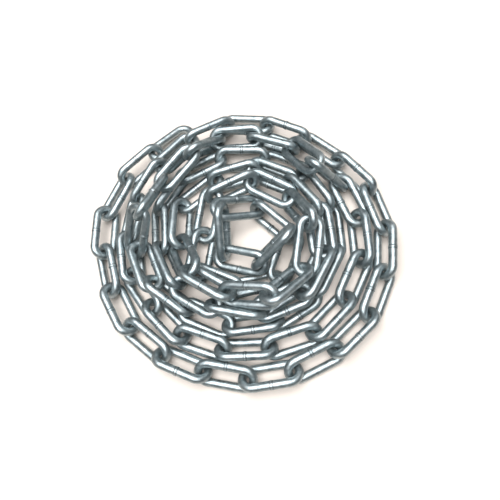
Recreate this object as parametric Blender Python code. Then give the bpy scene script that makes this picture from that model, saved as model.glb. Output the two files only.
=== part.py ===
"""Coil of welded steel chain, laid by hand in a flat spiral on a level floor.

Metres, +Z up. The floor is z = 0. Every link is a round steel wire bent into an oval and welded shut.
The links are laid where the photograph shows them, hooked up in the order of the chain above the floor,
let down on to it and on to each other, and nudged apart until each wire is clear of the next.
"""
import math

import bmesh
import bpy
import numpy as np

# Chain: 6 mm wire, 33 mm inside length, 8.5 mm inside width
WIRE = 0.006
INSIDE_LENGTH = 0.033
INSIDE_WIDTH = 0.0085
GAP = 0.00025

# Facets of a link as built
WIRE_SIDES = 6
BEND_STEPS = 5

# How near the centres of two wires may come, and how near where two links share one solid
CLEAR = WIRE + GAP
SHARED_SOLID = 0.0038

# The photograph's camera: it looks at the middle of the frame from this far, at this height over the level
PHOTO_MIDDLE = 250
LENS_PX = 400
CAMERA_DISTANCE = 0.295
CAMERA_HEIGHT_DEG = 71.3
CAMERA_ROLL_DEG = -22.7
LINK_LEVEL = 0.008

# Laying the coil down: how much higher each link starts than the one before, how much more the chain's
# inner end does, and how far a link drops in a round, at first and while the photograph is followed closely
START_RISE = 0.00115
END_LIFT = 0.014
DROP = 0.0004
FINE_DROP = 0.0001

# Rounds of hooking up, of closing in, of letting down, of following the photograph and of clearing
HOOK_ROUNDS = 60
CLOSE_ROUNDS = 80
FLAT_ROUNDS = 300
DOWN_ROUNDS = 1200
FOLLOW_ROUNDS = 500
CLEAR_ROUNDS = 600
LAST_HOOK_ROUNDS = 100

# A link doesn't drop while its wire and another's are nearer than this
PRESSED = 0.005

# How easily a link turns about its length, across it, and flat, next to how easily it shifts
TURNING = (6.0e-5, 2.4e-4, 3.0e-4)
MOST_TURN = 0.15

# Zinc-plated steel
ZINC_COLOUR = (0.62, 0.66, 0.68, 1.0)
ZINC_ROUGHNESS = 0.32

BEND = (INSIDE_WIDTH + WIRE) / 2
HALF_STRAIGHT = (INSIDE_LENGTH + WIRE) / 2 - BEND
HALF_LENGTH = INSIDE_LENGTH / 2 + WIRE
HALF_PITCH = INSIDE_LENGTH / 2
UP = np.array([0.0, 0.0, 1.0])

# Each turn from the outside in, and each link in the order of the chain, as the photograph shows it:
# the pixels of its two ends, and how far it leans about its own length, in degrees,
# more than 0 where the strand on the outer side is the higher one
TURN_1 = (
    ((191, 130), (152, 157), 5), ((163, 150), (121, 183), 50), ((132, 174), (105, 221), -15),
    ((107, 207), (103, 260), 50), ((104, 243), (116, 297), -22), ((108, 283), (133, 335), 42),
    ((123, 321), (171, 359), -20), ((153, 353), (213, 377), 40), ((196, 370), (260, 381), -22),
    ((238, 380), (303, 371), 38), ((283, 376), (341, 351), -25), ((325, 357), (377, 319), 42),
    ((365, 328), (389, 270), -22), ((386, 283), (392, 223), 45), ((390, 238), (366, 184), -12),
    ((376, 197), (335, 155), 50), ((347, 165), (301, 133), 0), ((314, 140), (259, 123), 60),
    ((272, 124), (219, 121), 5), ((231, 126), (182, 138), 62),
)
TURN_2 = (
    ((192, 145), (150, 178), 0), ((158, 167), (134, 210), 62), ((138, 197), (128, 250), 0),
    ((130, 233), (140, 288), 55), ((130, 271), (166, 313), -5), ((142, 293), (187, 341), 48),
    ((171, 328), (231, 352), -35), ((213, 346), (277, 348), 20), ((261, 350), (324, 331), -40),
    ((311, 339), (354, 293), 20), ((343, 303), (367, 252), -40), ((366, 268), (358, 211), 45),
    ((362, 222), (335, 178), -10), ((337, 190), (303, 155), 45), ((329, 177), (286, 146), -10),
    ((297, 151), (250, 136), 50), ((262, 141), (209, 141), 0), ((223, 140), (187, 156), 60),
)
TURN_3 = (
    ((195, 150), (163, 190), 0), ((172, 175), (143, 219), 55), ((147, 206), (146, 258), -30),
    ((146, 248), (160, 292), 25), ((153, 274), (185, 313), 80), ((176, 301), (231, 330), -45),
    ((214, 327), (279, 328), 40),
    ((262, 331), (322, 307), -40), ((314, 303), (346, 252), 40), ((344, 257), (330, 197), -20),
    ((334, 210), (301, 168), 55), ((305, 173), (250, 154), 0), ((266, 157), (212, 160), 60),
    ((222, 154), (177, 184), -5),
)
TURN_4 = (
    ((192, 172), (156, 216), 55), ((158, 199), (153, 254), -20), ((153, 236), (175, 290), 30),
    ((165, 284), (220, 315), -45), ((214, 309), (279, 309), 40), ((262, 317), (311, 295), -40),
    ((308, 300), (336, 241), 20), ((324, 252), (311, 200), -50), ((315, 213), (290, 177), 30),
    ((303, 189), (250, 166), -30), ((264, 173), (214, 182), 40),
)
TURN_5 = (
    ((222, 181), (184, 216), -10), ((185, 200), (176, 252), 45), ((178, 234), (200, 282), -35),
    ((184, 277), (234, 304), 45), ((221, 300), (270, 300), -40), ((256, 304), (306, 277), 40),
    ((305, 275), (304, 213), -30), ((314, 216), (279, 188), 45), ((292, 205), (243, 180), -20),
    ((256, 187), (208, 200), 50),
)
TURN_6 = (
    ((219, 196), (207, 246), -10), ((206, 230), (202, 275), 60), ((193, 261), (241, 288), -30),
    ((227, 290), (278, 288), 45), ((264, 287), (302, 233), -40),
)
MIDDLE_RING = (
    ((298, 238), (250, 203), 50), ((266, 205), (207, 211), -10), ((220, 203), (228, 256), 50),
    ((207, 260), (272, 267), -25), ((254, 268), (301, 227), 45),
)
TURNS = (TURN_1, TURN_2, TURN_3, TURN_4, TURN_5, TURN_6, MIDDLE_RING)
TURN_NAMES = ("turn1", "turn2", "turn3", "turn4", "turn5", "turn6", "middle")

# How many neighbouring links share one solid, turn by turn; the others are single
RUNS = {
    "turn3": (3, 2, 2, 2, 2, 3),
    "turn4": (2, 2, 2, 2, 3),
    "turn5": (2, 2, 3, 3),
    "turn6": (3, 2),
}

# How firmly a turn keeps to its place in the photograph
HOLD = {"turn1": 5.0, "turn2": 4.0, "turn3": 1.5, "turn6": 2.0, "middle": 4.0}


def unit(v):
    """Vectors of length 1 along the last axis."""
    return v / np.sqrt((v * v).sum(-1, keepdims=True))


def photo_camera():
    """Place, view direction, right and up of the photograph's camera."""
    height = math.radians(CAMERA_HEIGHT_DEG)
    roll = math.radians(CAMERA_ROLL_DEG)
    back = np.array([0.0, -math.cos(height), math.sin(height)])
    right = np.array([1.0, 0.0, 0.0])
    up = np.cross(right, -back)
    place = back * CAMERA_DISTANCE + UP * LINK_LEVEL
    turned_right = math.cos(roll) * right + math.sin(roll) * up
    turned_up = math.cos(roll) * up - math.sin(roll) * right
    return place, -back, turned_right, turned_up


CAMERA = photo_camera()


def seen_at(pixels, heights):
    """The points at these heights that the photograph shows at these pixels."""
    place, forward, right, up = CAMERA
    across = (pixels[:, :1] - PHOTO_MIDDLE) * right
    down = (pixels[:, 1:] - PHOTO_MIDDLE) * up
    rays = across - down + LENS_PX * forward
    return place + rays * ((heights - place[2]) / rays[:, 2])[:, None]


def corners():
    """Corners of a link's centreline in its own plane, length along X: half of each chord lies outside the bend."""
    reach = BEND * 2 / (1 + math.cos(math.pi / (2 * BEND_STEPS)))
    points = []
    for side in (1, -1):
        for step in range(BEND_STEPS + 1):
            angle = math.pi * (step / BEND_STEPS - 0.5)
            points.append((side * (HALF_STRAIGHT + reach * math.cos(angle)), side * reach * math.sin(angle)))
    return np.array(points)


CORNERS = corners()


def turned(v, turn):
    """Vectors turned about the axis of each turn, by its length in radians."""
    angle = np.sqrt((turn * turn).sum(-1, keepdims=True))
    axis = turn / np.maximum(angle, 1e-12)
    along = axis * (axis * v).sum(-1, keepdims=True)
    return v * np.cos(angle) + np.cross(axis, v) * np.sin(angle) + along * (1 - np.cos(angle))


def nearest(start_1, end_1, start_2, end_2):
    """The nearest points of pairs of straight pieces of wire."""
    run_1 = end_1 - start_1
    run_2 = end_2 - start_2
    between = start_1 - start_2
    a = (run_1 * run_1).sum(-1)
    e = (run_2 * run_2).sum(-1)
    b = (run_1 * run_2).sum(-1)
    c = (run_1 * between).sum(-1)
    f = (run_2 * between).sum(-1)
    spread = a * e - b * b
    part_1 = np.where(spread > 1e-16, np.clip((b * f - c * e) / np.maximum(spread, 1e-16), 0, 1), 0.5)
    free = (b * part_1 + f) / e
    part_2 = np.clip(free, 0, 1)
    part_1 = np.where(free != part_2, np.clip((part_2 * b - c) / a, 0, 1), part_1)
    return start_1 + run_1 * part_1[:, None], start_2 + run_2 * part_2[:, None]


class Coil:
    """Middle, length direction and width direction of every link, and the steps that seat them."""

    def __init__(self):
        links = [link for turn in TURNS for link in turn]
        self.count = len(links)
        self.turn = [name for name, turn in zip(TURN_NAMES, TURNS) for _ in turn]
        self.hold = np.array([HOLD.get(name, 1.0) for name in self.turn])
        self.runs = self.share_solids()
        self.shared = np.zeros(self.count, bool)
        for run in self.runs:
            self.shared[list(run[:-1])] = True
        self.first_pixel = np.array([link[0] for link in links], float)
        self.last_pixel = np.array([link[1] for link in links], float)
        level = np.full(self.count, LINK_LEVEL)
        self.first_spot = seen_at(self.first_pixel, level)
        self.last_spot = seen_at(self.last_pixel, level)
        self.middle = (self.first_spot + self.last_spot) / 2
        self.middle[:, 2] += START_RISE * np.arange(self.count)
        self.middle[-1, 2] += END_LIFT
        self.length = unit(self.last_spot - self.first_spot)
        lean = np.radians(np.array([link[2] for link in links], float))[:, None]
        self.width = np.cos(lean) * np.cross(self.length, UP) + np.sin(lean) * UP
        self.photo_width = self.width.copy()
        self.nearest_wire = np.zeros(self.count)
        self.begin()

    def share_solids(self):
        """Links of each solid, as tuples of link numbers."""
        runs = []
        first = 0
        for name, links in zip(TURN_NAMES, TURNS):
            for size in RUNS.get(name, (1,) * len(links)):
                runs.append(tuple(range(first, first + size)))
                first += size
        return runs

    def corner_points(self):
        """Corners of every link's centreline, in the world."""
        along = CORNERS[None, :, :1] * self.length[:, None]
        across = CORNERS[None, :, 1:] * self.width[:, None]
        return self.middle[:, None] + along + across

    def begin(self):
        """Start a round: no link has a shift or a turn yet."""
        self.shift = np.zeros((self.count, 3))
        self.spin = np.zeros((self.count, 3))
        self.asks = np.zeros(self.count)

    def ask(self, link, point, step):
        """Ask links to shift and turn so that a point on each makes its step."""
        size = np.sqrt((step * step).sum(-1))
        some = size > 1e-9
        if not some.any():
            return
        link, point, step, size = link[some], point[some], step[some], size[some]
        way = step / size[:, None]
        normal = np.cross(self.length[link], self.width[link])
        axes = np.stack([self.length[link], self.width[link], normal], 1)
        lever = (axes * np.cross(point - self.middle[link], way)[:, None]).sum(-1)
        share = size / (1.0 + (lever ** 2 / TURNING).sum(-1))
        turn = (axes * (lever / TURNING)[..., None]).sum(1) * share[:, None]
        np.add.at(self.shift, link, way * share[:, None])
        np.add.at(self.spin, link, turn)
        np.add.at(self.asks, link, 1.0)

    def end(self, strength):
        """End a round: each link moves by what was asked of it.

        Digits far below any real size are dropped, so that the coil comes out the same on every machine.
        """
        part = (strength / np.sqrt(np.maximum(self.asks, 1.0)))[:, None]
        middle = self.middle + self.shift * part
        turn = self.spin * part
        amount = np.sqrt((turn * turn).sum(-1, keepdims=True))
        turn = turn * np.minimum(1.0, MOST_TURN / np.maximum(amount, 1e-12))
        length = np.round(turned(self.length, turn), 6)
        width = np.round(turned(self.width, turn), 6)
        self.middle = np.round(middle, 7)
        self.length = unit(length)
        self.width = unit(width - self.length * (width * self.length).sum(-1, keepdims=True))
        self.begin()

    def follow_photo(self, strength, flat):
        """Draw each link's ends to their pixels, on the floor or at the height they have now."""
        part = np.minimum(0.5, strength * self.hold)[:, None]
        every = np.arange(self.count)
        ends = ((-1, self.first_pixel, self.first_spot), (1, self.last_pixel, self.last_spot))
        for side, pixels, spots in ends:
            end = self.middle + side * HALF_LENGTH * self.length
            wanted = spots if flat else seen_at(pixels, end[:, 2])
            step = wanted - end
            step[:, 2] = 0.0
            self.ask(every, end, step * part)

    def lean_back(self, part):
        """Turn each link about its length towards the lean that the photograph shows."""
        off = (self.photo_width * self.length).sum(-1, keepdims=True)
        wanted = unit(self.photo_width - self.length * off)
        normal = np.cross(self.length, self.width)
        angle = np.arctan2((wanted * normal).sum(-1), (wanted * self.width).sum(-1))
        self.width = unit(turned(self.width, self.length * (angle * part)[:, None]))

    def hook_up(self, strength, slack):
        """Keep each link's end inside the end of the next."""
        link = np.arange(self.count - 1)
        here = self.middle[:-1] + HALF_PITCH * self.length[:-1]
        there = self.middle[1:] - HALF_PITCH * self.length[1:]
        step = there - here
        size = np.sqrt((step * step).sum(-1, keepdims=True))
        step = step * np.maximum(size - slack, 0.0) / np.maximum(size, 1e-9) * 0.5 * strength
        self.ask(link, here, step)
        self.ask(link + 1, there, -step)

    def stand(self):
        """Lift any link that is lower than the floor."""
        points = self.corner_points()
        every = np.arange(self.count)
        lowest = points[every, points[..., 2].argmin(1)]
        deep = np.maximum(WIRE / 2 - lowest[:, 2], 0.0)
        self.ask(every, lowest, deep[:, None] * UP)

    def near_wires(self, reach):
        """Nearest points of straight pieces of different links within reach of each other."""
        starts = self.corner_points()
        ends = np.roll(starts, -1, axis=1)
        middles = (starts + ends) / 2
        halves = np.sqrt(((ends - starts) ** 2).sum(-1))[0] / 2
        first, second = np.triu_indices(self.count, 1)
        apart = ((self.middle[first] - self.middle[second]) ** 2).sum(-1)
        close = apart < (2 * HALF_LENGTH + reach) ** 2
        first, second = first[close], second[close]
        apart = ((middles[first][:, :, None] - middles[second][:, None]) ** 2).sum(-1)
        pair, i, j = np.nonzero(apart < (halves[:, None] + halves + reach) ** 2)
        first, second = first[pair], second[pair]
        here, there = nearest(starts[first, i], ends[first, i], starts[second, j], ends[second, j])
        distance = np.sqrt(((here - there) ** 2).sum(-1))
        close = distance < reach
        return first[close], second[close], here[close], there[close], distance[close]

    def part_wires(self, clear):
        """Nudge wires apart that are nearer than clear, and note how near each link's wire came to another."""
        first, second, here, there, distance = self.near_wires(clear + 0.0015)
        shared = self.shared[first] & (second == first + 1)
        wanted = np.where(shared, min(clear, SHARED_SOLID), clear)
        away = (here - there) * (0.5 * (wanted - distance) / np.maximum(distance, 1e-7))[:, None]
        deep = distance < wanted
        self.ask(first[deep], here[deep], away[deep])
        self.ask(second[deep], there[deep], -away[deep])
        # Two links of one solid are drawn on to each other at the place where they are nearest
        rows = np.flatnonzero(shared)
        rows = rows[np.lexsort((distance[rows], first[rows]))]
        rows = rows[np.unique(first[rows], return_index=True)[1]]
        rows = rows[distance[rows] > SHARED_SOLID]
        self.ask(first[rows], here[rows], away[rows] * 0.8)
        self.ask(second[rows], there[rows], away[rows] * -0.8)
        loose = ~shared
        self.nearest_wire = np.full(self.count, clear)
        np.minimum.at(self.nearest_wire, first[loose], distance[loose])
        np.minimum.at(self.nearest_wire, second[loose], distance[loose])

    def drop(self, step):
        """Lower each link that nothing presses."""
        self.middle[:, 2] -= np.where(self.nearest_wire > PRESSED, step, 0.0)

    def lay(self):
        """Hook the links up above the floor, let them down, then clear every wire."""
        for _ in range(HOOK_ROUNDS):
            self.hook_up(1.0, 0.0005)
            self.follow_photo(0.1, True)
            self.end(1.0)
            self.lean_back(0.3)
        for step in range(CLOSE_ROUNDS):
            self.hook_up(0.8, 0.0012)
            self.follow_photo(0.05, True)
            self.part_wires(CLEAR * min(1.0, 0.5 + step / CLOSE_ROUNDS))
            self.stand()
            self.end(1.0)
            self.lean_back(0.05)
        for step in range(DOWN_ROUNDS):
            self.drop(DROP)
            self.hook_up(0.7, 0.0012)
            self.follow_photo(0.02, step < FLAT_ROUNDS)
            self.part_wires(CLEAR)
            self.stand()
            self.end(1.1)
            self.lean_back(0.01)
        for _ in range(FOLLOW_ROUNDS):
            self.drop(FINE_DROP)
            self.hook_up(0.7, 0.0012)
            self.follow_photo(0.1, False)
            self.part_wires(CLEAR)
            self.stand()
            self.end(1.1)
            self.lean_back(0.03)
        for step in range(CLEAR_ROUNDS):
            if step < LAST_HOOK_ROUNDS:
                self.hook_up(0.5, 0.0015)
                self.follow_photo(0.01, False)
            self.part_wires(CLEAR + 0.00005)
            self.stand()
            self.end(1.2)
            if step > LAST_HOOK_ROUNDS and self.nearest_wire.min() > CLEAR:
                break
        return self.nearest_wire.min()


def zinc(name):
    """Bright zinc plate on steel."""
    material = bpy.data.materials.new(name)
    material.use_nodes = True
    shader = material.node_tree.nodes["Principled BSDF"]
    shader.inputs["Base Color"].default_value = ZINC_COLOUR
    shader.inputs["Metallic"].default_value = 1.0
    shader.inputs["Roughness"].default_value = ZINC_ROUGHNESS
    return material


def link_points(coil, link):
    """The wire's ring of corners at each corner of a link's centreline."""
    along, across = coil.length[link], coil.width[link]
    normal = np.cross(along, across)
    side = np.where(np.arange(len(CORNERS)) <= BEND_STEPS, 1.0, -1.0)
    out = unit(CORNERS - np.stack([side * HALF_STRAIGHT, 0.0 * side], -1))
    angle = 2 * math.pi * (np.arange(WIRE_SIDES) + 0.5) / WIRE_SIDES
    flat = CORNERS[:, None] + out[:, None] * (WIRE / 2 * np.cos(angle))[:, None]
    lift = WIRE / 2 * np.sin(angle)[:, None]
    return coil.middle[link] + flat[..., :1] * along + flat[..., 1:] * across + lift * normal


def link_mesh(name, points):
    """One closed link: the wire's ring of corners, carried round the oval."""
    mesh = bmesh.new()
    rings = [[mesh.verts.new(point) for point in ring] for ring in points]
    for ring, following in zip(rings, rings[1:] + rings[:1]):
        for k in range(WIRE_SIDES):
            after = (k + 1) % WIRE_SIDES
            mesh.faces.new((ring[k], following[k], following[after], ring[after]))
    bmesh.ops.recalc_face_normals(mesh, faces=mesh.faces)
    data = bpy.data.meshes.new(name)
    mesh.to_mesh(data)
    mesh.free()
    data.shade_smooth()
    return data


def add_object(name, data, material):
    obj = bpy.data.objects.new(name, data)
    bpy.context.collection.objects.link(obj)
    data.materials.append(material)
    return obj


def main():
    for obj in list(bpy.data.objects):
        bpy.data.objects.remove(obj, do_unlink=True)
    coil = Coil()
    least = coil.lay()
    vertices = np.concatenate([link_points(coil, link).reshape(-1, 3) for link in range(coil.count)])
    low, high = vertices.min(0), vertices.max(0)
    base = np.array([(low[0] + high[0]) / 2, (low[1] + high[1]) / 2, low[2]])
    material = zinc("zinc_plated_steel")
    number = {}
    for run in coil.runs:
        turn = coil.turn[run[0]]
        first = number.get(turn, 0) + 1
        number[turn] = first + len(run) - 1
        name = f"{turn}_link{first:02d}" if len(run) == 1 else f"{turn}_links{first:02d}_{number[turn]:02d}"
        pieces = []
        for link in run:
            data = link_mesh(name, link_points(coil, link) - base)
            pieces.append(add_object(name if not pieces else f"{name}_more{len(pieces)}", data, material))
        for extra in pieces[1:]:
            join = pieces[0].modifiers.new(extra.name, "BOOLEAN")
            join.operation = "UNION"
            join.solver = "EXACT"
            join.object = extra
            extra.hide_render = True
            extra.display_type = "WIRE"
    print(f"least distance between wires' centres {least * 1000:.2f} mm, {coil.count} links, {len(coil.runs)} solids")


main()
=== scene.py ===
"""Coil of bright zinc-plated chain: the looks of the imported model.

Metres, +Z up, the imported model's own frame. Each faceted link of the model is found again from its corners and
replaced by a smooth welded one that lies in the same place.
"""
import math

import bpy
import numpy as np
from mathutils import Matrix, Vector


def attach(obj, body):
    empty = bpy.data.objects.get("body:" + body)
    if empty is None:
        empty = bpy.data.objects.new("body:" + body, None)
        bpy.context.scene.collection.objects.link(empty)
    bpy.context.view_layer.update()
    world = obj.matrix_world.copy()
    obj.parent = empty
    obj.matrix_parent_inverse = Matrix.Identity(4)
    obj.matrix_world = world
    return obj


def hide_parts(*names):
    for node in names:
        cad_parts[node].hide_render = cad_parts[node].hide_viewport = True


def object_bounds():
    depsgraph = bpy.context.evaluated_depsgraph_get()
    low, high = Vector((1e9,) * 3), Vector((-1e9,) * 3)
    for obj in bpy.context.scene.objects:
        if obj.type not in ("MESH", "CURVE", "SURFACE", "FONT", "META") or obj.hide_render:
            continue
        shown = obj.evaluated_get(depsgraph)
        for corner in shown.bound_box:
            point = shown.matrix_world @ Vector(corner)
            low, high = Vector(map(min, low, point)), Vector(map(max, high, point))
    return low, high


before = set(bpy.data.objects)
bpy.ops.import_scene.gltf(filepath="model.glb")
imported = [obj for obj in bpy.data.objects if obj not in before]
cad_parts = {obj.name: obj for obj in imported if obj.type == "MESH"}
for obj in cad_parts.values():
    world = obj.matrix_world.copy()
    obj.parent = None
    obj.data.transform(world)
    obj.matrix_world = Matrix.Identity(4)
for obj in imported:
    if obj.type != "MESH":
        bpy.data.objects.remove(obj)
cad_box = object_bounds()

# The link as the model has it
WIRE = 0.006
INSIDE_LENGTH = 0.033
INSIDE_WIDTH = 0.0085
CAD_WIRE_SIDES = 6
CAD_BEND_STEPS = 5
BEND = (INSIDE_WIDTH + WIRE) / 2
HALF_STRAIGHT = (INSIDE_LENGTH + WIRE) / 2 - BEND

# The smooth link
SIDES = 20
BEND_PARTS = 14
STRAIGHT_PARTS = 6
WELD_REACH = 0.0018
WELD_HALF = 0.0008
WELD_EDGE = 0.00018
WELD_PARTS = 18
WELD_RISE = (0.00014, 0.00038)
WELD_GROOVE = 0.0001

# The photograph's camera
CAMERA_TARGET = (0.00441, -0.01408, 0.008)
CAMERA_DISTANCE = 0.295
CAMERA_HEIGHT_DEG = 71.3
CAMERA_ROLL_DEG = -22.7
LENS_MM = 28.8
SENSOR_MM = 36.0

# Looks, as linear colours
ZINC_PATCHES = ((0.32, (0.24, 0.285, 0.30)), (0.50, (0.36, 0.415, 0.43)), (0.68, (0.48, 0.525, 0.535)))
ZINC_RUBBED = (0.50, 0.54, 0.55)
# Dark colour painted as shade into the creases at the feet of the weld's collar
ZINC_PAINTED_SHADE = (0.10, 0.11, 0.12)
ZINC_ROUGH = (0.34, 0.52)
FLOOR_TONES = ((0.74, 0.665, 0.605), (0.78, 0.705, 0.645))


def unit(v):
    return v / np.linalg.norm(v, axis=-1, keepdims=True)


def cad_link():
    """Corners of one faceted link of the model, about its own middle: length along X, width along Y."""
    reach = BEND * 2 / (1 + math.cos(math.pi / (2 * CAD_BEND_STEPS)))
    points = []
    for side in (1, -1):
        for step in range(CAD_BEND_STEPS + 1):
            angle = math.pi * (step / CAD_BEND_STEPS - 0.5)
            out = np.array([side * math.cos(angle), side * math.sin(angle), 0.0])
            corner = np.array([side * HALF_STRAIGHT, 0.0, 0.0]) + reach * out
            for k in range(CAD_WIRE_SIDES):
                round_wire = 2 * math.pi * (k + 0.5) / CAD_WIRE_SIDES
                lift = np.array([0.0, 0.0, math.sin(round_wire)])
                points.append(corner + WIRE / 2 * (math.cos(round_wire) * out + lift))
    return np.array(points)


CAD_LINK = cad_link()


def best_turn(source, target):
    """Rotation and shift that lay source points on target points best."""
    a, b = source.mean(0), target.mean(0)
    left, _, right = np.linalg.svd((source - a).T @ (target - b))
    flip = np.diag([1.0, 1.0, np.sign(np.linalg.det(right.T @ left.T))])
    turn = right.T @ flip @ left.T
    return turn, b - turn @ a


def settle(points, turn, shift):
    """Slide the faceted link on to the points, nearest corner to nearest corner."""
    reach = 0.004
    for _ in range(40):
        laid = CAD_LINK @ turn.T + shift
        gap = np.linalg.norm(laid[:, None] - points[None], axis=-1)
        near = gap.argmin(1)
        kept = gap.min(1) < reach
        if kept.sum() < 12:
            break
        turn, shift = best_turn(CAD_LINK[kept], points[near[kept]])
        reach = max(reach * 0.85, 0.0003)
    laid = CAD_LINK @ turn.T + shift
    gap = np.linalg.norm(laid[:, None] - points[None], axis=-1).min(1)
    return int((gap < 0.00005).sum()), turn, shift


def groups_of(points, count):
    """Split points into this many groups along their longest run."""
    middle = points.mean(0)
    along = (points - middle) @ np.linalg.svd(points - middle, full_matrices=False)[2][0]
    cuts = np.quantile(along, [(k + 0.5) / count for k in range(count)])
    centres = np.array([points[np.abs(along - cut).argsort()[:10]].mean(0) for cut in cuts])
    for _ in range(30):
        owner = np.linalg.norm(points[:, None] - centres[None], axis=-1).argmin(1)
        centres = np.array([points[owner == k].mean(0) if (owner == k).any() else centres[k] for k in range(count)])
    return [points[owner == k] for k in range(count)]


def find_links(node, count):
    """Rotation and place of each link in a node of the model."""
    points = np.array([v.co[:] for v in node.data.vertices])
    points = points[np.unique(np.round(points, 6), axis=0, return_index=True)[1]]
    found = []
    left_over = points
    while len(found) < count:
        best = (0, None, None)
        for group in groups_of(left_over, count - len(found)):
            middle = group.mean(0)
            main = np.linalg.svd(group - middle, full_matrices=False)[2][0]
            side = unit(np.cross(main, [0.3, 0.5, 0.8]))
            for slide in (0.0, -0.006, 0.006, -0.012, 0.012):
                for step in range(12):
                    angle = math.pi * step / 12
                    across = side * math.cos(angle) + np.cross(main, side) * math.sin(angle)
                    turn = np.stack([main, across, np.cross(main, across)], 1)
                    result = settle(left_over, turn, middle + slide * main)
                    if result[0] > best[0]:
                        best = result
                if best[0] > 0.9 * len(CAD_LINK):
                    break
        if best[0] < 0.4 * len(CAD_LINK):
            raise RuntimeError(f"{node.name}: a link could not be found again")
        found.append(best[1:])
        laid = CAD_LINK @ best[1].T + best[2]
        gap = np.linalg.norm(left_over[:, None] - laid[None], axis=-1).min(1)
        left_over = left_over[gap > 0.00006]
    return found


def zinc():
    """Bright electro-galvanised steel: cool satin grey, mottled, rubbed where links bear, with painted shade in the
    creases at the feet of the weld's collar.
    """
    material = bpy.data.materials.new("zinc_plate")
    material.use_nodes = True
    nodes = material.node_tree.nodes
    links = material.node_tree.links
    shader = nodes["Principled BSDF"]
    shader.inputs["Metallic"].default_value = 1.0

    place = nodes.new("ShaderNodeTexCoord")

    def noise(scale, detail, rough=0.5):
        node = nodes.new("ShaderNodeTexNoise")
        node.inputs["Scale"].default_value = scale
        node.inputs["Detail"].default_value = detail
        node.inputs["Roughness"].default_value = rough
        links.new(place.outputs["Object"], node.inputs["Vector"])
        return node.outputs["Fac"]

    def ramp(source, stops):
        node = nodes.new("ShaderNodeValToRGB")
        while len(node.color_ramp.elements) < len(stops):
            node.color_ramp.elements.new(0.5)
        for element, (position, colour) in zip(node.color_ramp.elements, stops):
            element.position = position
            element.color = (*colour, 1.0)
        links.new(source, node.inputs["Fac"])
        return node.outputs["Color"]

    def mix(factor, a, b, blend="MIX"):
        node = nodes.new("ShaderNodeMix")
        node.data_type = "RGBA"
        node.blend_type = blend
        if isinstance(factor, float):
            node.inputs["Factor"].default_value = factor
        else:
            links.new(factor, node.inputs["Factor"])
        links.new(a, node.inputs["A"])
        links.new(b, node.inputs["B"])
        return node.outputs["Result"]

    def colour_of(value):
        node = nodes.new("ShaderNodeRGB")
        node.outputs[0].default_value = (*value, 1.0)
        return node.outputs[0]

    def part_of(name, share):
        source = nodes.new("ShaderNodeAttribute")
        source.attribute_name = name
        node = nodes.new("ShaderNodeMath")
        node.operation = "MULTIPLY"
        node.inputs[1].default_value = share
        links.new(source.outputs["Fac"], node.inputs[0])
        return node.outputs[0]

    # Patches a few millimetres across, some a little bluer and some a little duller
    patches = ramp(noise(210.0, 4.0, 0.65), ZINC_PATCHES)
    specks = ramp(noise(1100.0, 2.0, 0.6), ((0.34, (0.72, 0.73, 0.74)), (0.52, (1.0, 1.0, 1.0))))
    colour = mix(0.25, patches, specks, "MULTIPLY")
    # Rubbed brighter where one link bears on the next, and painted shade, a dark band, in the crease either side of
    # the weld's collar
    colour = mix(part_of("rub", 0.35), colour, colour_of(ZINC_RUBBED))
    colour = mix(part_of("painted_seam_shade", 0.8), colour, colour_of(ZINC_PAINTED_SHADE))
    links.new(colour, shader.inputs["Base Color"])
    rough = ramp(noise(380.0, 4.0, 0.6), ((0.28, (ZINC_ROUGH[0],) * 3), (0.72, (ZINC_ROUGH[1],) * 3)))
    links.new(rough, shader.inputs["Roughness"])

    # Shallow dents a few millimetres across under a finer unevenness of the plating
    dents = nodes.new("ShaderNodeBump")
    dents.inputs["Strength"].default_value = 0.30
    dents.inputs["Distance"].default_value = 0.0004
    links.new(noise(330.0, 3.0, 0.5), dents.inputs["Height"])
    fine = nodes.new("ShaderNodeBump")
    fine.inputs["Strength"].default_value = 0.10
    fine.inputs["Distance"].default_value = 0.0001
    links.new(noise(900.0, 2.0, 0.5), fine.inputs["Height"])
    links.new(dents.outputs["Normal"], fine.inputs["Normal"])
    links.new(fine.outputs["Normal"], shader.inputs["Normal"])
    return material


def weld_collar(along):
    """How far the weld's collar stands out at this place along the strand, 0 to 1, and how strong the painted shade
    is in the creases at its feet.
    """
    edge = 1.0 / (1.0 + math.exp((abs(along) - WELD_HALF) / (WELD_EDGE / 2)))
    groove = math.exp(-(along / WELD_EDGE) ** 2)
    # Painted shade: a dark band in the crease just outside each edge of the collar
    painted_seam_shade = math.exp(-((abs(along) - WELD_HALF - WELD_EDGE) / (1.3 * WELD_EDGE)) ** 2)
    return edge, groove, painted_seam_shade


def link_profile():
    """Rings of the smooth link: centre x and y, way out x and y, collar, groove, painted shade at the collar's feet,
    and how far round a bend.
    """
    rows = []
    turn = np.linspace(-math.pi / 2, math.pi / 2, BEND_PARTS + 1)
    weld_at = np.linspace(-WELD_REACH, WELD_REACH, WELD_PARTS + 1)
    for side in (1, -1):
        for angle in turn:
            out = (side * math.cos(angle), side * math.sin(angle))
            bearing = max(0.0, math.cos(angle * 1.5)) ** 2
            rows.append((side * HALF_STRAIGHT + BEND * out[0], BEND * out[1], *out, 0.0, 0.0, 0.0, bearing))
        run = np.linspace(-HALF_STRAIGHT, HALF_STRAIGHT, STRAIGHT_PARTS + 2)[1:-1]
        if side == 1:
            run = np.concatenate([run[run < -WELD_REACH * 1.3], weld_at, run[run > WELD_REACH * 1.3]])
        for along in run:
            collar = weld_collar(along) if side == 1 else (0.0, 0.0, 0.0)
            rows.append((-side * along, side * BEND, 0.0, float(side), *collar, 0.0))
    return np.array(rows)


PROFILE = link_profile()


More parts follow.
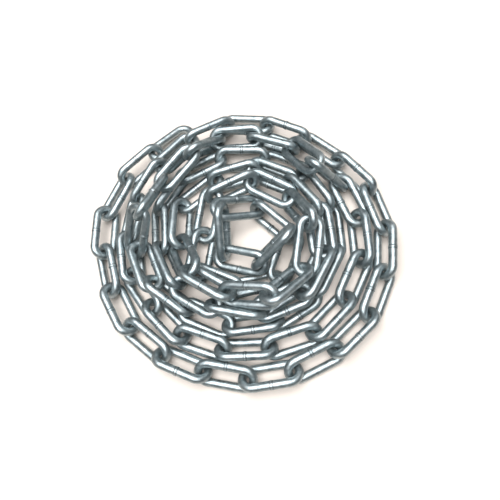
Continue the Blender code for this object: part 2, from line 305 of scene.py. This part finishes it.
def smooth_link(name, turn, shift, rise, material):
    """One link of round wire with its butt weld's collar at the middle of the +Y strand."""
    flat = np.zeros((len(PROFILE), 1))
    centre = np.concatenate([PROFILE[:, :2], flat], 1)
    out = np.concatenate([PROFILE[:, 2:4], flat], 1)
    radius = WIRE / 2 + rise * PROFILE[:, 4] - WELD_GROOVE * PROFILE[:, 5]
    angle = 2 * math.pi * np.arange(SIDES) / SIDES
    ring = np.cos(angle)[None, :, None] * out[:, None] + np.sin(angle)[None, :, None] * np.array([0.0, 0.0, 1.0])
    points = centre[:, None] + ring * radius[:, None, None]
    points = points.reshape(-1, 3) @ turn.T + shift
    points = np.clip(points, np.array(cad_box[0]), np.array(cad_box[1]))
    count = len(PROFILE)
    faces = []
    for i in range(count):
        j = (i + 1) % count
        for k in range(SIDES):
            n = (k + 1) % SIDES
            faces.append((i * SIDES + k, j * SIDES + k, j * SIDES + n, i * SIDES + n))
    mesh = bpy.data.meshes.new(name)
    mesh.from_pydata(points.tolist(), [], faces)
    mesh.update()
    inner = np.maximum(0.0, -np.cos(angle)) ** 2
    # The seam mark is painted shade at the weld collar's feet; the rub mark is polish where links bear
    marks = {"painted_seam_shade": np.repeat(PROFILE[:, 6], SIDES), "rub": (PROFILE[:, 7][:, None] * inner[None]).ravel()}
    for mark, values in marks.items():
        layer = mesh.attributes.new(mark, "FLOAT", "POINT")
        layer.data.foreach_set("value", np.clip(values, 0.0, 1.0).astype(np.float32))
    mesh.shade_smooth()
    mesh.materials.append(material)
    obj = bpy.data.objects.new(name, mesh)
    bpy.context.collection.objects.link(obj)
    return obj


def links_in(name):
    """How many links a node of the model holds, and the number of its first one."""
    turn, numbers = name.rsplit("_link", 1)
    first, _, last = numbers.lstrip("s").partition("_")
    return turn, int(first), int(last or first) - int(first) + 1


def dress():
    """A smooth link for each faceted one: every second link has its weld on the strand that faces outward."""
    material = zinc()
    for name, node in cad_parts.items():
        turn_name, first, count = links_in(name)
        for number, (turn, shift) in enumerate(find_links(node, count), first):
            faces_out = float(turn[:2, 1] @ shift[:2]) > 0
            if faces_out != (number % 2 == 0):
                turn = turn @ np.diag([-1.0, -1.0, 1.0])
            share = (number * 0.618 + len(turn_name) * 0.37) % 1.0
            rise = WELD_RISE[0] + (WELD_RISE[1] - WELD_RISE[0]) * share
            piece = smooth_link(f"{turn_name}_smooth_link{number:02d}", turn, shift, rise, material)
            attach(piece, "root")
            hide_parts(name)


def floor():
    mesh = bpy.data.meshes.new("floor")
    half = 1.5
    mesh.from_pydata([(-half, -half, 0.0), (half, -half, 0.0), (half, half, 0.0), (-half, half, 0.0)], [], [(0, 1, 2, 3)])
    material = bpy.data.materials.new("pale_floor")
    material.use_nodes = True
    nodes = material.node_tree.nodes
    links = material.node_tree.links
    shader = nodes["Principled BSDF"]
    shader.inputs["Roughness"].default_value = 0.75
    place = nodes.new("ShaderNodeTexCoord")
    grain = nodes.new("ShaderNodeTexNoise")
    grain.inputs["Scale"].default_value = 35.0
    grain.inputs["Detail"].default_value = 4.0
    links.new(place.outputs["Object"], grain.inputs["Vector"])
    ramp = nodes.new("ShaderNodeValToRGB")
    for element, tone in zip(ramp.color_ramp.elements, FLOOR_TONES):
        element.color = (*tone, 1.0)
    links.new(grain.outputs["Fac"], ramp.inputs["Fac"])
    links.new(ramp.outputs["Color"], shader.inputs["Base Color"])
    mesh.materials.append(material)
    obj = bpy.data.objects.new("floor", mesh)
    bpy.context.collection.objects.link(obj)


def area_light(name, place, size, power, colour, target=(0.0, 0.0, 0.0)):
    data = bpy.data.lights.new(name, "AREA")
    data.shape = "RECTANGLE"
    data.size, data.size_y = size
    data.energy = power
    data.color = colour
    obj = bpy.data.objects.new(name, data)
    obj.location = place
    obj.rotation_euler = (Vector(target) - Vector(place)).to_track_quat("-Z", "Y").to_euler()
    bpy.context.collection.objects.link(obj)


def light():
    world = bpy.data.worlds.new("studio")
    bpy.context.scene.world = world
    world.use_nodes = True
    background = world.node_tree.nodes["Background"]
    background.inputs["Color"].default_value = (0.85, 0.95, 1.0, 1.0)
    background.inputs["Strength"].default_value = 0.17
    area_light("overhead", (-0.08, 0.05, 1.10), (1.20, 1.00), 25.0, (1.0, 1.0, 1.0))
    area_light("side", (0.75, 0.35, 0.45), (0.30, 0.50), 0.6, (0.95, 0.98, 1.0))


def camera():
    height = math.radians(CAMERA_HEIGHT_DEG)
    roll = math.radians(CAMERA_ROLL_DEG)
    back = Vector((0.0, -math.cos(height), math.sin(height)))
    right = Vector((1.0, 0.0, 0.0))
    up = right.cross(-back)
    turned_right = math.cos(roll) * right + math.sin(roll) * up
    turned_up = math.cos(roll) * up - math.sin(roll) * right
    data = bpy.data.cameras.new("camera")
    data.lens = LENS_MM
    data.sensor_width = SENSOR_MM
    data.clip_start = 0.01
    data.clip_end = 10.0
    obj = bpy.data.objects.new("camera", data)
    place = Vector(CAMERA_TARGET) + back * CAMERA_DISTANCE
    axes = Matrix((turned_right, turned_up, back)).transposed().to_4x4()
    obj.matrix_world = Matrix.Translation(place) @ axes
    bpy.context.collection.objects.link(obj)
    bpy.context.scene.camera = obj


dress()
floor()
light()
camera()
bpy.context.scene.view_settings.view_transform = "Standard"
